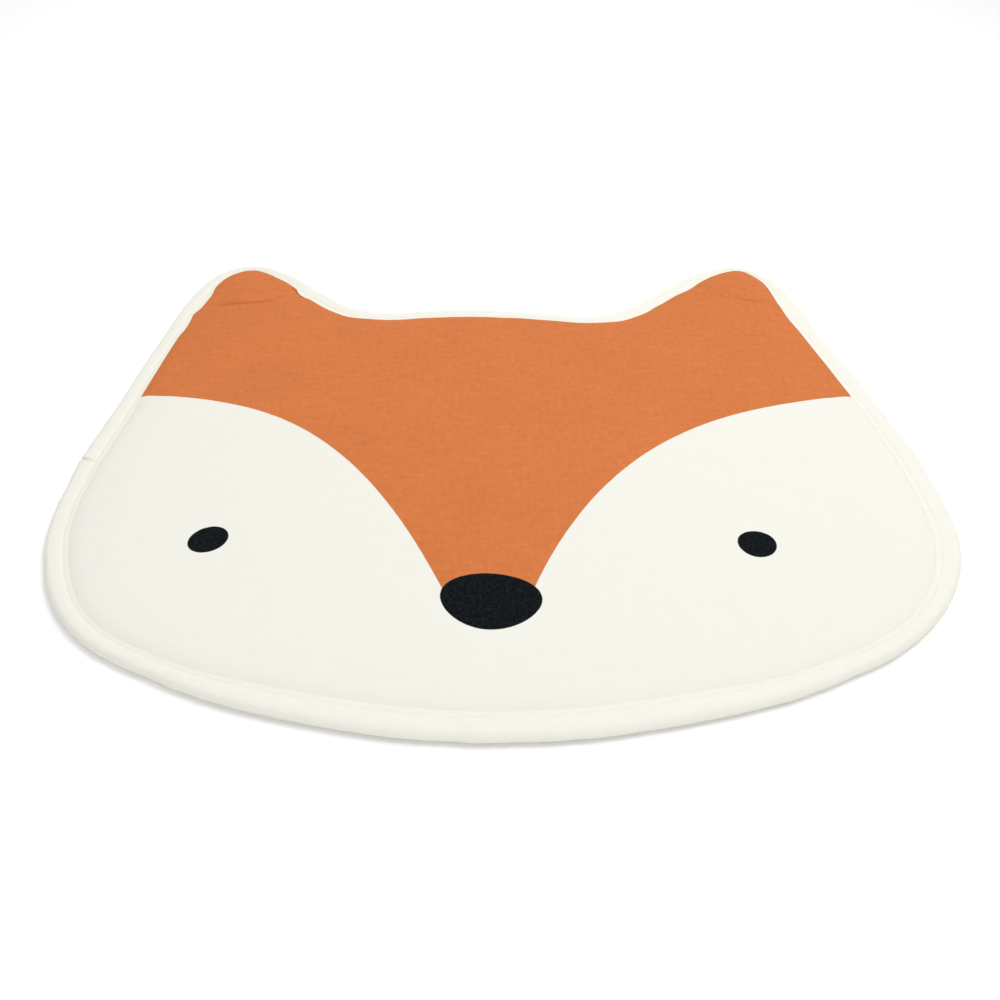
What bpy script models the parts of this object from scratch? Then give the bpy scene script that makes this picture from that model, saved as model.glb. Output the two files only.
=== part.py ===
"""Padded floor rug for a child's room, in the outline of a fox's head.

A printed cotton panel is filled and lies flat, with a low crown, two fuller ear tips and a soft
crease under each tip. One cotton strip is folded round its whole edge: under the rug, round the
puffed side, over the top, down into a stitched groove and up into a narrow folded inner edge.
Metres, +Z up, ears towards +Y, origin on the floor under the middle of the rug.
"""

import math
from collections import namedtuple

import bmesh
import bpy
from mathutils import Matrix, Vector, geometry

MM = 0.001

# Cloth and filling
STRIP_THICKNESS = 1.4 * MM
CLEARANCE = 0.52 * MM
SEAM_HEIGHT = 10.4 * MM
FACE_HEIGHT = 17.7 * MM
FACE_RISE = 13 * MM  # how far in from the seam the crown takes most of its height
EAR_RISE = 10 * MM
UNDERSIDE_INSET = 22.6 * MM  # from the outline to the flat underside, beside the turned-under strip
SEAM_INSET = 24 * MM  # from the outline to where the face comes out from under the strip

# The head's outline. Each row places one point of the pattern on both sides of the head, in
# millimetres from the middle of the rug. The chin and the brow close the loop in the middle.
OutlineRow = namedtuple("OutlineRow", "place left_x left_y right_x right_y")
CHIN = (0, -449)
BROW = (-18, 306)
OUTLINE = (
    OutlineRow("chin side", -165, -429, 160, -429),
    OutlineRow("jaw", -300, -383, 293, -386),
    OutlineRow("jaw corner", -400, -319, 395, -322),
    OutlineRow("cheek", -459, -213, 460, -226),
    OutlineRow("widest", -474, -92, 475, -92),
    OutlineRow("temple", -466, 72, 459, 74),
    OutlineRow("ear root", -456, 240, 435, 235),
    OutlineRow("ear side", -443, 362, 419, 355),
    OutlineRow("ear shoulder", -420, 424, 400, 406),
    OutlineRow("ear tip", -376, 449, 355, 444),
    OutlineRow("ear crest", -325, 427, 303, 427),
    OutlineRow("ear slope", -261, 362, 243, 371),
    OutlineRow("ear foot", -205, 311, 185, 314),
    OutlineRow("brow dip", -160, 297, 130, 286),
    OutlineRow("brow side", -95, 304, 72, 292),
)
HANDLE_SHARE = 0.36  # a handle's length, as a share of the distance to the next point
LONGEST_STEP = 30 * MM
SHARPEST_TURN = math.radians(11)

# The strip's outer face in section, from the edge turned under the rug to the folded inner edge:
# inset from the outline and height over the floor, and how far the pinched join draws each point
# in and down. In millimetres.
SectionRow = namedtuple("SectionRow", "place inset height join_in join_down")
STRIP_SECTION = (
    SectionRow("turned-under edge", 22.0, 0.0, 0.0, 0.0),
    SectionRow("floor line", 5.5, 0.0, 0.0, 0.0),
    SectionRow("heel", 1.6, 2.4, 1.2, 0.0),
    SectionRow("bulge", 0.0, 6.2, 2.2, 0.6),
    SectionRow("shoulder", 1.6, 10.0, 1.8, 1.8),
    SectionRow("top's edge", 4.6, 12.1, 1.0, 2.4),
    SectionRow("top", 9.5, 13.0, 0.3, 2.2),
    SectionRow("fall", 14.4, 12.8, 0.0, 1.2),
    SectionRow("stitched groove", 17.8, 11.9, 0.0, 0.0),
    SectionRow("lip", 20.8, 12.5, 0.0, 0.0),
    SectionRow("folded edge", 23.0, 12.0, 0.0, 0.0),
)
JOIN_CENTRE = Vector((-473, -64)) * MM  # where the strip's two ends are lapped
JOIN_HALF_LENGTH = 6 * MM
JOIN_EASE = 1.6 * MM  # more room for the filling under the pinch

# The ears' tips are fuller than the rest.
EarRow = namedtuple("EarRow", "place x y reach sharpness puff")
EARS = (
    EarRow("left ear", -370, 412, 66, 4, 5.5),
    EarRow("right ear", 347, 405, 66, 4, 5.0),
)

# Where the strip is drawn tighter over the edge, or lies wider, as a share of its width. A higher
# sharpness ends a place more abruptly.
WidthRow = namedtuple("WidthRow", "place x y reach sharpness narrowing")
WIDTHS = (
    WidthRow("chin", 0, -449, 240, 4, -0.18),
    WidthRow("left side", -472, 10, 265, 4, -0.08),
    WidthRow("left join", -475, -15, 75, 4, -0.11),
    WidthRow("left ear's side", -453, 300, 38, 4, -0.12),
    WidthRow("left ear", -378, 410, 94, 6, 0.18),
    WidthRow("left ear's crest", -330, 432, 34, 4, 0.14),
    WidthRow("left brow", -90, 302, 88, 4, 0.10),
    WidthRow("right brow", 72, 292, 68, 4, 0.22),
    WidthRow("right ear's foot", 166, 302, 28, 4, -0.12),
    WidthRow("right ear", 370, 416, 80, 6, 0.12),
    WidthRow("right ear's shoulder", 403, 401, 44, 4, 0.18),
    WidthRow("right ear's side", 430, 292, 38, 4, -0.14),
    WidthRow("right temple", 445, 175, 100, 4, -0.12),
    WidthRow("right side's top", 471, -15, 44, 4, -0.09),
    WidthRow("right side", 474, -100, 100, 4, -0.06),
    WidthRow("right jaw", 350, -345, 150, 4, 0.28),
    WidthRow("left jaw", -350, -355, 105, 4, 0.16),
)

# Creases across the ears, each a shallow bow through its middle, in millimetres
CreaseRow = namedtuple("CreaseRow", "place start middle end depth half_width")
CREASES = (
    CreaseRow("left ear crease", (-423, 309), (-353, 313), (-284, 338), 3.4, 8),
    CreaseRow("right ear crease", (282, 370), (337, 328), (398, 300), 2.6, 8),
)
CREASE_STEPS = 12

# The face's mesh: rings that follow the seam, then an even grid
FACE_RINGS = (5 * MM, 12 * MM, 23 * MM)
GRID_PITCH = 27 * MM
GRID_CLEAR_OF_EDGE = 34 * MM
GRID_CLEAR_OF_LINES = 11 * MM
LINES_CLEAR_OF_SEAM = 3 * MM

# The print. A cheek's upper edge is one curve from the seam to the nose, with a handle at each end.
CheekRow = namedtuple("CheekRow", "place seam seam_handle nose_handle nose")
LEFT_CHEEK = CheekRow("left cheek", (-441, 77), (-363, 51), (-204, 93), (-54, -276))
RIGHT_CHEEK = CheekRow("right cheek", (436, 80), (396, 43), (153, 78), (30, -280))
CHEEK_STEPS = 18
# An oval of the print. A swelling above 0 makes its upper part the wider one, like an egg.
SpotRow = namedtuple("SpotRow", "place x y half_width half_height tilt swelling")
SPOTS = (
    SpotRow("nose", -9, -292, 47.3, 37.2, -6, 0.15),
    SpotRow("left eye", -294.5, -203, 20.8, 18.5, 55, 0.0),
    SpotRow("right eye", 258, -210.5, 19.1, 19.7, 0, 0.05),
)
SPOT_STEPS = 20

FinishRow = namedtuple("FinishRow", "name red green blue roughness")
CREAM_STRIP = FinishRow("cream cotton strip", 0.87, 0.85, 0.77, 0.9)
CREAM_PRINT = FinishRow("cream cotton canvas", 0.88, 0.87, 0.79, 0.9)
ORANGE_PRINT = FinishRow("orange printed canvas", 0.70, 0.22, 0.07, 0.9)
BLACK_PRINT = FinishRow("black printed canvas", 0.010, 0.014, 0.016, 0.9)
SHARP_ANGLE = math.radians(50)
MERGE = 0.01 * MM
KEEP_INSIDE_BORDER = 1  # the triangulation's mode that leaves out what lies outside the border


def clear_scene():
    for item in list(bpy.data.objects):
        bpy.data.objects.remove(item, do_unlink=True)


def finish(row):
    """A plain cloth material."""
    material = bpy.data.materials.new(row.name)
    material.use_nodes = True
    colour = (row.red, row.green, row.blue, 1.0)
    shader = material.node_tree.nodes["Principled BSDF"]
    shader.inputs["Base Color"].default_value = colour
    shader.inputs["Roughness"].default_value = row.roughness
    shader.inputs["Metallic"].default_value = 0.0
    material.diffuse_color = colour
    return material


def rug_part(name, mesh_data, materials, rug):
    """A named object from finished mesh data, smooth but for its folds, parented to the rug."""
    bmesh.ops.recalc_face_normals(mesh_data, faces=mesh_data.faces)
    mesh = bpy.data.meshes.new(name)
    mesh_data.to_mesh(mesh)
    mesh_data.free()
    for material in materials:
        mesh.materials.append(material)
    mesh.shade_smooth()
    mesh.set_sharp_from_angle(angle=SHARP_ANGLE)
    item = bpy.data.objects.new(name, mesh)
    bpy.context.scene.collection.objects.link(item)
    item.parent = rug
    return item


# Lines on the floor plane


def bezier(start, handle, pull, end, steps):
    """The curve's points, both ends included."""
    corners = [point.to_3d() for point in (start, handle, pull, end)]
    return [point.to_2d() for point in geometry.interpolate_bezier(*corners, steps + 1)]


def distance_to_line(point, line, closed=False):
    """The shortest way from a point to a chain of segments."""
    ends = line[1:] + line[:1] if closed else line[1:]
    nearest = math.inf
    for start, end in zip(line, ends):
        span = end - start
        share = min(max((point - start).dot(span) / span.length_squared, 0.0), 1.0)
        nearest = min(nearest, (start + span * share - point).length)
    return nearest


def is_inside(point, loop):
    """True inside a closed loop: a line to the right crosses it an odd number of times."""
    crossings = 0
    for start, end in zip(loop, loop[1:] + loop[:1]):
        if (start.y > point.y) != (end.y > point.y):
            share = (point.y - start.y) / (end.y - start.y)
            crossings += point.x < start.x + share * (end.x - start.x)
    return crossings % 2 == 1


def well_inside(points, loop, distance):
    """The points that a closed loop holds, further than the distance from its edge."""
    held = [point for point in points if is_inside(point, loop)]
    return [point for point in held if distance_to_line(point, loop, closed=True) > distance]


# Outline


def pattern_points():
    """The outline's points in order: the chin, the left side, the brow, the right side."""
    left = [(row.left_x, row.left_y) for row in OUTLINE]
    right = [(row.right_x, row.right_y) for row in reversed(OUTLINE)]
    return [Vector(point) * MM for point in (CHIN, *left, BROW, *right)]


def pattern_spans(points):
    """One curve to each next point. Its handles lie along the direction between the neighbours."""
    directions = []
    for i, point in enumerate(points):
        before = point - points[i - 1]
        after = points[(i + 1) % len(points)] - point
        turned = before.normalized() * after.length + after.normalized() * before.length
        directions.append(turned.normalized())
    for i, start in enumerate(points):
        j = (i + 1) % len(points)
        reach = (points[j] - start).length * HANDLE_SHARE
        yield start, start + directions[i] * reach, points[j] - directions[j] * reach, points[j]


def with_join(points):
    """The outline with two more points beside the strip's join, so that the pinch is short."""
    middle = nearest_index(points, JOIN_CENTRE)
    along = (points[middle + 1] - points[middle - 1]).normalized() * JOIN_HALF_LENGTH
    join = [points[middle] - along, points[middle], points[middle] + along]
    return points[:middle] + join + points[middle + 1 :]


def nearest_index(points, target):
    return min(range(len(points)), key=lambda i: (points[i] - target).length)


def outline_points():
    """The outline as chords, shorter where it turns more."""
    points = []
    for start, handle, pull, end in pattern_spans(pattern_points()):
        turn = abs((handle - start).angle_signed(end - pull))
        steps = math.ceil(max((end - start).length / LONGEST_STEP, turn / SHARPEST_TURN))
        points.extend(bezier(start, handle, pull, end, steps)[:-1])
    return with_join(points)


def local_share(point, row):
    """1 at the row's place, falling smoothly to 0 away from it."""
    away = (point - Vector((row.x, row.y)) * MM).length / (row.reach * MM)
    return math.exp(-(away**row.sharpness))


Station = namedtuple("Station", "point inward at_join narrowing")


def outline_stations():
    """Each outline point, with the way into the rug and what changes the strip there."""
    points = outline_points()
    join = nearest_index(points, JOIN_CENTRE)
    stations = []
    for i, point in enumerate(points):
        along = (points[(i + 1) % len(points)] - points[i - 1]).normalized()
        narrowing = sum(row.narrowing * local_share(point, row) for row in WIDTHS)
        stations.append(Station(point, Vector((along.y, -along.x)), i == join, narrowing))
    return stations


def loop_at(stations, inset):
    """The outline moved in by the inset, less where the strip is narrower."""
    return [station.point + station.inward * inset * (1 - station.narrowing) for station in stations]


# Sections through the edge, as pairs of inset and height


def strip_section(station):
    section = []
    for row in STRIP_SECTION:
        inset = row.inset * (1 - station.narrowing) + row.join_in * station.at_join
        height = row.height - row.join_down * station.at_join
        section.append(Vector((inset, height)) * MM)
    return section


def moved_inwards(section, distance):
    """The section moved into the filling by the distance, with mitred corners."""
    sides = [end - start for start, end in zip(section, section[1:])]
    normals = [Vector((side.y, -side.x)).normalized() for side in sides]
    moved = []
    for point, before, after in zip(section, normals[:1] + normals, normals + normals[-1:]):
        middle = (before + after).normalized()
        moved.append(point + middle * distance / middle.dot(before))
    return moved


def panel_section(station):
    """The panel's edge, from its flat underside through the strip's fold to its seam on top."""
    depth = STRIP_THICKNESS + CLEARANCE + JOIN_EASE * station.at_join
    fold = moved_inwards(strip_section(station), depth)
    underside = UNDERSIDE_INSET * (1 - station.narrowing)
    seam = SEAM_INSET * (1 - station.narrowing)
    step = [Vector((underside, 0.0)), Vector((underside, STRIP_THICKNESS + CLEARANCE))]
    return step + fold[1:] + [Vector((seam, SEAM_HEIGHT))]


def placed(station, section):
    """A section's points in space, at its station."""
    spots = [station.point + station.inward * corner.x for corner in section]
    return [Vector((spot.x, spot.y, corner.y)) for spot, corner in zip(spots, section)]


def swept(mesh_data, rows, closed):
    """Quads from each row of points to the next row, all round. Returns the rows' vertices."""
    rings = [[mesh_data.verts.new(point) for point in row] for row in rows]
    for near, far in zip(rings, rings[1:] + rings[:1]):
        for j in range(len(near) if closed else len(near) - 1):
            k = (j + 1) % len(near)
            mesh_data.faces.new((near[j], near[k], far[k], far[j]))
    return rings


# Binding


def edge_binding(stations, rug):
    """The folded strip: its outer face, and its inner face a thickness further in."""
    rows = []
    for station in stations:
        outer = strip_section(station)
        inner = moved_inwards(outer, STRIP_THICKNESS)
        rows.append(placed(station, outer + inner[::-1]))
    mesh_data = bmesh.new()
    swept(mesh_data, rows, closed=True)
    return rug_part("edge_binding", mesh_data, [finish(CREAM_STRIP)], rug)


# Face


def crease_line(row):
    start, middle, end = (Vector(point) * MM for point in (row.start, row.middle, row.end))
    bow = middle * 2 - (start + end) / 2  # the control point of a bow that passes through the middle
    return bezier(start, start.lerp(bow, 2 / 3), end.lerp(bow, 2 / 3), end, CREASE_STEPS)


def beside(line, distance):
    """The line's points moved to its left by the distance, or to its right by a negative one."""
    points = []
    for i, point in enumerate(line):
        along = (line[min(i + 1, len(line) - 1)] - line[max(i - 1, 0)]).normalized()
        points.append(point + Vector((-along.y, along.x)) * distance)
    return points


def face_height(point, seam, creases):
    """The filled face: a crown that falls to the seam, fuller in the ears, hollowed by the creases."""
    ear = max(local_share(point, row) for row in EARS)
    puff = sum(row.puff * MM * local_share(point, row) for row in EARS)
    rise = FACE_RISE + (EAR_RISE - FACE_RISE) * ear
    share = 1 - math.exp(-distance_to_line(point, seam, closed=True) / rise)
    height = (FACE_HEIGHT + puff - SEAM_HEIGHT) * share
    for row, line in creases:
        away = distance_to_line(point, line) / (row.half_width * MM)
        height -= row.depth * MM * share * math.exp(-1.5 * away**2)
    return SEAM_HEIGHT + height


def mask_edge():
    """The orange mask's lower edge, from the left seam past the nose to the right seam."""
    sides = []
    for cheek in (LEFT_CHEEK, RIGHT_CHEEK):
        corners = (cheek.seam, cheek.seam_handle, cheek.nose_handle, cheek.nose)
        sides.append(bezier(*[Vector(corner) * MM for corner in corners], CHEEK_STEPS))
    return sides[0] + sides[1][::-1]


def spot_outline(row):
    turn = Matrix.Rotation(math.radians(row.tilt), 2)
    points = []
    for i in range(SPOT_STEPS):
        angle = math.tau * i / SPOT_STEPS
        across = row.half_width * math.cos(angle) * (1 + row.swelling * math.sin(angle))
        up = row.half_height * math.sin(angle)
        points.append((Vector((row.x, row.y)) + turn @ Vector((across, up))) * MM)
    return points


def grid_points(edge, lines):
    """An even grid of staggered rows inside the face, clear of its rings and lines."""
    row_height = GRID_PITCH * math.sqrt(3) / 2
    furthest = max(max(abs(point.x), abs(point.y)) for point in edge)
    columns = math.ceil(furthest / GRID_PITCH)
    rows = math.ceil(furthest / row_height)
    points = []
    for row in range(-rows, rows + 1):
        stagger = 0.5 * (row % 2)
        for column in range(-columns, columns + 1):
            points.append(Vector(((column + stagger) * GRID_PITCH, row * row_height)))
    points = well_inside(points, edge, GRID_CLEAR_OF_EDGE)
    return [
        point
        for point in points
        if all(distance_to_line(point, line) > GRID_CLEAR_OF_LINES for line in lines)
    ]


def face_triangles(stations, creases):
    """The face on the floor plane: its points, and triangles whose edges follow the print."""
    seam = loop_at(stations, SEAM_INSET)
    rings = [loop_at(stations, SEAM_INSET + distance) for distance in FACE_RINGS]
    spots = [spot_outline(row) for row in SPOTS]
    mask = well_inside(mask_edge(), seam, LINES_CLEAR_OF_SEAM)
    points = []
    edges = []
    for loop in [seam] + rings + spots:
        first = len(points)
        points.extend(loop)
        edges.extend((first + i, first + (i + 1) % len(loop)) for i in range(len(loop)))
    first = len(points)
    points.extend(mask)
    edges.extend((first + i, first + i + 1) for i in range(len(mask) - 1))
    lines = [mask] + [spot + spot[:1] for spot in spots]
    for row, line in creases:
        for side in (-1, 0, 1):
            lane = beside(line, side * row.half_width * MM)
            points.extend(well_inside(lane, seam, LINES_CLEAR_OF_SEAM))
            lines.append(lane)
    points.extend(grid_points(seam, lines))
    border = [list(range(len(seam)))]
    found = geometry.delaunay_2d_cdt(points, edges, border, KEEP_INSIDE_BORDER, MERGE / 10)
    return found[0], found[2]


def print_index(point, spots, mask):
    """Which of the panel's three printed colours covers a point: 0 cream, 1 orange, 2 black."""
    if any(is_inside(point, spot) for spot in spots):
        return 2
    if point.x <= mask[0].x or point.x >= mask[-1].x:
        return int(point.y > mask[0].y)
    for start, end in zip(mask, mask[1:]):
        if start.x <= point.x <= end.x:
            share = (point.x - start.x) / (end.x - start.x)
            return int(point.y > start.y + share * (end.y - start.y))
    return 0


def padded_face(stations, rug):
    """The filled, printed panel: flat underneath, its side in the strip's fold, crowned on top."""
    mesh_data = bmesh.new()
    sections = [placed(station, panel_section(station)) for station in stations]
    rings = swept(mesh_data, sections, closed=False)
    mesh_data.faces.new([ring[0] for ring in rings])
    creases = [(row, crease_line(row)) for row in CREASES]
    seam = loop_at(stations, SEAM_INSET)
    spots = [spot_outline(row) for row in SPOTS]
    mask = mask_edge()
    points, triangles = face_triangles(stations, creases)
    corners = [mesh_data.verts.new((*point, face_height(point, seam, creases))) for point in points]
    for triangle in triangles:
        face = mesh_data.faces.new([corners[i] for i in triangle])
        face.material_index = print_index(face.calc_center_median().to_2d(), spots, mask)
    bmesh.ops.remove_doubles(mesh_data, verts=mesh_data.verts, dist=MERGE)
    materials = [finish(row) for row in (CREAM_PRINT, ORANGE_PRINT, BLACK_PRINT)]
    return rug_part("padded_face", mesh_data, materials, rug)


def animal_rug():
    rug = bpy.data.objects.new("animal_rug", None)
    bpy.context.scene.collection.objects.link(rug)
    stations = outline_stations()
    padded_face(stations, rug)
    edge_binding(stations, rug)


clear_scene()
animal_rug()
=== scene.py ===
"""A padded floor rug for a child's room, in the outline of a fox's head, lying on a pale floor.

The printed canvas head is filled and let swell by a cloth simulation. A cream cotton strip is
folded round its whole edge and topstitched. Metres, +Z up, ears towards +Y, the rug's middle at
the origin.
"""

import math
from collections import namedtuple

import bmesh
import bpy
import numpy as np
from mathutils import Matrix, Vector, geometry, noise


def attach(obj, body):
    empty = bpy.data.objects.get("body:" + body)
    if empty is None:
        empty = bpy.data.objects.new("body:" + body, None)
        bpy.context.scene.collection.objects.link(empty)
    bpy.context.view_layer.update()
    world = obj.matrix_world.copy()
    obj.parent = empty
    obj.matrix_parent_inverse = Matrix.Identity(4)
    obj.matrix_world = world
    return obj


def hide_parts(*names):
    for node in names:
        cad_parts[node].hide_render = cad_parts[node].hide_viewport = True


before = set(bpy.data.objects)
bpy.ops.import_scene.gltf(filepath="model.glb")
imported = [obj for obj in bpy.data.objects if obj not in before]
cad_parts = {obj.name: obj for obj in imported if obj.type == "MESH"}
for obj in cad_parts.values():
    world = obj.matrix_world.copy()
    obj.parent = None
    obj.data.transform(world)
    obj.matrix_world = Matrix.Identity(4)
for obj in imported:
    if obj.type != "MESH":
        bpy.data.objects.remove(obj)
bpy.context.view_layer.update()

MM = 0.001

# The head's outline. Each row places one point of the pattern on both sides of the head, in
# millimetres from the middle of the rug. The chin and the brow close the loop in the middle.
OutlineRow = namedtuple("OutlineRow", "place left_x left_y right_x right_y")
CHIN = (0, -449)
BROW = (-18, 306)
OUTLINE = (
    OutlineRow("chin side", -165, -429, 160, -429),
    OutlineRow("jaw", -300, -383, 293, -386),
    OutlineRow("jaw corner", -400, -319, 395, -322),
    OutlineRow("cheek", -459, -213, 460, -226),
    OutlineRow("widest", -474, -92, 475, -92),
    OutlineRow("temple", -466, 72, 459, 74),
    OutlineRow("ear root", -456, 240, 435, 235),
    OutlineRow("ear side", -443, 362, 419, 355),
    OutlineRow("ear shoulder", -420, 424, 400, 406),
    OutlineRow("ear tip", -376, 449, 355, 444),
    OutlineRow("ear crest", -325, 427, 303, 427),
    OutlineRow("ear slope", -261, 362, 243, 371),
    OutlineRow("ear foot", -205, 311, 185, 314),
    OutlineRow("brow dip", -160, 297, 130, 286),
    OutlineRow("brow side", -95, 304, 72, 292),
)
HANDLE_SHARE = 0.36  # a handle's length, as a share of the distance to the next point

# The strip's outer face in section, from the edge turned under the rug to the folded inner edge:
# inset from the outline and height over the floor, how far the pinched join draws it in and
# down, and how much of the lumps of the roll and of the stitches' puckers it takes. In mm.
SectionRow = namedtuple("SectionRow", "place inset height join_in join_down lump pucker")
STRIP_SECTION = (
    SectionRow("turned-under edge", 22.0, 0.0, 0.0, 0.0, 0.0, 0.0),
    SectionRow("floor line", 9.6, 0.0, 0.0, 0.0, 0.0, 0.0),
    SectionRow("heel", 3.2, 2.6, 1.8, 0.0, 0.4, 0.0),
    SectionRow("bulge", 0.0, 6.5, 3.0, 0.8, 0.8, 0.1),
    SectionRow("shoulder", 1.6, 10.0, 2.8, 2.4, 1.0, 0.2),
    SectionRow("top's edge", 4.4, 12.2, 1.4, 3.4, 1.0, 0.3),
    SectionRow("top", 9.5, 13.0, 0.4, 3.2, 1.0, 0.4),
    SectionRow("fall", 14.4, 12.8, 0.0, 1.8, 0.6, 0.8),
    SectionRow("groove's side", 16.7, 12.3, 0.0, 0.6, 0.2, 0.9),
    SectionRow("stitched groove", 17.8, 11.8, 0.0, 0.0, 0.0, 0.3),
    SectionRow("lip's side", 18.9, 12.05, 0.0, 0.0, 0.2, 0.6),
    SectionRow("lip", 20.8, 12.45, 0.0, 0.2, 0.4, 0.8),
    SectionRow("folded edge", 22.6, 12.75, 0.0, 0.0, 0.2, 0.3),
    SectionRow("fold's underside", 23.1, 12.65, 0.0, 0.0, 0.1, 0.2),
)
FLOOR_ROW = 1
GROOVE_ROW = 9
SECTION_STEPS = 3  # points from each row to the next
STRIP_THICKNESS = 0.35 * MM
STRIP_STEP = 3.0 * MM  # between the strip's sections along the outline
# Smooth noise along the strip, as a few waves: each one's length, seed and share.
WaveRow = namedtuple("WaveRow", "length seed share")
LUMP = 0.55 * MM
LUMP_WAVES = (WaveRow(34 * MM, 1, 1.0), WaveRow(15 * MM, 2, 0.6))
PUCKER = 0.38 * MM
PUCKER_WAVES = (WaveRow(7 * MM, 3, 1.0), WaveRow(3.6 * MM, 4, 0.7))
NOISE_GAIN = 1.6  # brings the noise to about -1 to 1
JOIN_CENTRE = Vector((-473, -64)) * MM  # where the strip's two ends are lapped
JOIN_HALF_LENGTH = 2.0 * MM
JOIN_SLANT = 10 * MM  # how much further up the pinch lies at the outline than at the groove
JOIN_REACH = 20 * MM
JOIN_PARTS = 5  # sections in place of one, within reach of the join
LAP_RISE = 0.5 * MM
LAP_LENGTH = 28 * MM

# The panel under the strip
PANEL_CLEARANCE = 1.5 * MM  # under the strip's cloth
PANEL_STEP = 6.5 * MM
# The panel's way out of the strip's fold, close under its folded edge, up to the seam: inset and
# height in mm
TUCK = ((21.2, 11.6), (22.8, 12.3), (23.4, 12.65))
SEAM_HEIGHT = 12.9 * MM
SEAM_INSET = 24.0 * MM
UNDERSIDE_INSET = 22.8 * MM
FACE_HEIGHT = 18.0 * MM  # before the wadding swells
FACE_RISE = 5.5 * MM
FACE_EASE = 0.5  # above 0, the face's steepest part lies further from the seam
EAR_RISE = 7 * MM
FACE_RINGS = (2.5 * MM, 6 * MM, 11 * MM, 18 * MM)
FACE_PITCH = 9 * MM
UNDERSIDE_PITCH = 40 * MM
RING_CLEARANCE = 0.6  # of the pitch, between the grid and a ring
LANE_CLEARANCE = 0.5  # of the pitch, between the grid and a lane beside a crease
SEAM_CLEARANCE = 1.5 * MM  # between the seam and the loose points
SWELL_PRESSURE = 4.0
SWELL_QUALITY = 5
SWELL_CAP = 1.4 * MM
SWELL_RISE = 9 * MM  # how far from the seam the swelling is held back
SWELL_FRAMES = 20

# The ears' tips are fuller than the rest.
EarRow = namedtuple("EarRow", "place x y reach sharpness puff")
EARS = (
    EarRow("left ear", -370, 412, 66, 4, 5.5),
    EarRow("right ear", 347, 405, 66, 4, 5.0),
)

# Where the strip is drawn tighter over the edge, or lies wider, as a share of its width. A higher
# sharpness ends a place more abruptly.
WidthRow = namedtuple("WidthRow", "place x y reach sharpness narrowing")
WIDTHS = (
    WidthRow("chin", 0, -449, 240, 4, -0.18),
    WidthRow("left side", -472, 10, 265, 4, -0.06),
    WidthRow("left join", -475, -15, 75, 4, -0.12),
    WidthRow("left temple's top", -455, 260, 24, 4, -0.09),
    WidthRow("left ear's side", -449, 332, 36, 4, -0.30),
    WidthRow("left ear", -378, 436, 56, 8, 0.04),
    WidthRow("left ear's crest", -343, 438, 22, 4, 0.11),
    WidthRow("left ear's notch", -266, 367, 14, 4, -0.09),
    WidthRow("left ear's slope", -232, 338, 58, 8, -0.21),
    WidthRow("left ear's foot", -193, 305, 20, 4, -0.06),
    WidthRow("left brow", -135, 297, 26, 4, 0.05),
    WidthRow("brow", -20, 303, 175, 8, -0.09),
    WidthRow("right brow", 76, 292, 60, 6, 0.16),
    WidthRow("right ear's foot", 173, 304, 30, 4, -0.25),
    WidthRow("right ear's slope", 232, 358, 54, 5, -0.10),
    WidthRow("right ear's edge", 274, 400, 36, 4, -0.13),
    WidthRow("right ear", 350, 440, 48, 6, 0.01),
    WidthRow("right ear's tip", 352, 446, 22, 3, -0.08),
    WidthRow("right ear's shoulder", 378, 431, 50, 2, 0.36),
    WidthRow("right ear's side", 427, 308, 52, 3, -0.32),
    WidthRow("right temple", 445, 175, 100, 4, -0.17),
    WidthRow("right side's top", 471, -15, 44, 4, -0.09),
    WidthRow("right side", 474, -100, 100, 4, -0.06),
    WidthRow("right edge", 470, -90, 200, 6, -0.15),
    WidthRow("right jaw", 350, -345, 150, 4, 0.17),
    WidthRow("left jaw", -350, -355, 105, 4, 0.17),
)

# Creases and folds in the filled face, each a shallow bow through its middle, in millimetres. A
# fold with a depth below 0 stands up.
FoldRow = namedtuple("FoldRow", "place start middle end depth half_width")
FOLDS = (
    FoldRow("left ear trough", (-420, 310), (-355, 313), (-288, 334), 2.2, 8.0),
    FoldRow("left ear crease", (-404, 309), (-360, 314), (-316, 323), 2.2, 1.8),
    FoldRow("left ear notch", (-308, 372), (-296, 358), (-284, 338), 2.9, 2.0),
    FoldRow("left ear wrinkle", (-354, 379), (-341, 383), (-325, 391), 1.5, 2.0),
    FoldRow("left ear upper wrinkle", (-347, 388), (-341, 392), (-334, 395), 0.5, 2.0),
    FoldRow("right ear trough", (286, 369), (338, 328), (394, 300), 1.8, 9.0),
    FoldRow("right ear first fold", (293, 347), (315, 335), (330, 322), 2.0, 2.2),
    FoldRow("right ear first ridge", (306, 348), (326, 340), (340, 329), -0.7, 2.2),
    FoldRow("right ear upper fold", (318, 355), (335, 353), (353, 348), 0.6, 2.2),
    FoldRow("right ear second fold", (336, 327), (354, 322), (370, 316), 1.6, 2.4),
    FoldRow("right ear second ridge", (344, 337), (363, 330), (385, 322), -0.6, 2.4),
    FoldRow("brow fold", (-401, 240), (-334, 190), (-267, 129), 0.5, 14.0),
    FoldRow("middle fold", (-45, -21), (46, -37), (137, -53), 0.5, 3.0),
    FoldRow("middle fold's end", (126, -23), (152, -22), (179, -19), 0.4, 3.0),
)
FOLD_STEPS = 26
FOLD_ENDS = 6  # a fold runs out over about a sixth of its length at each end
FOLD_LEFT = 0.15  # how much of its depth is left at its very end
FOLD_SHARPNESS = 1.5
LANE_SHARES = (-3.2, -1.6, -0.7, 0.0, 0.7, 1.6, 3.2)  # lanes beside a crease, in half widths
LANED_BELOW = 4.0  # folds with a smaller half width, in mm, get lanes of their own

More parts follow.
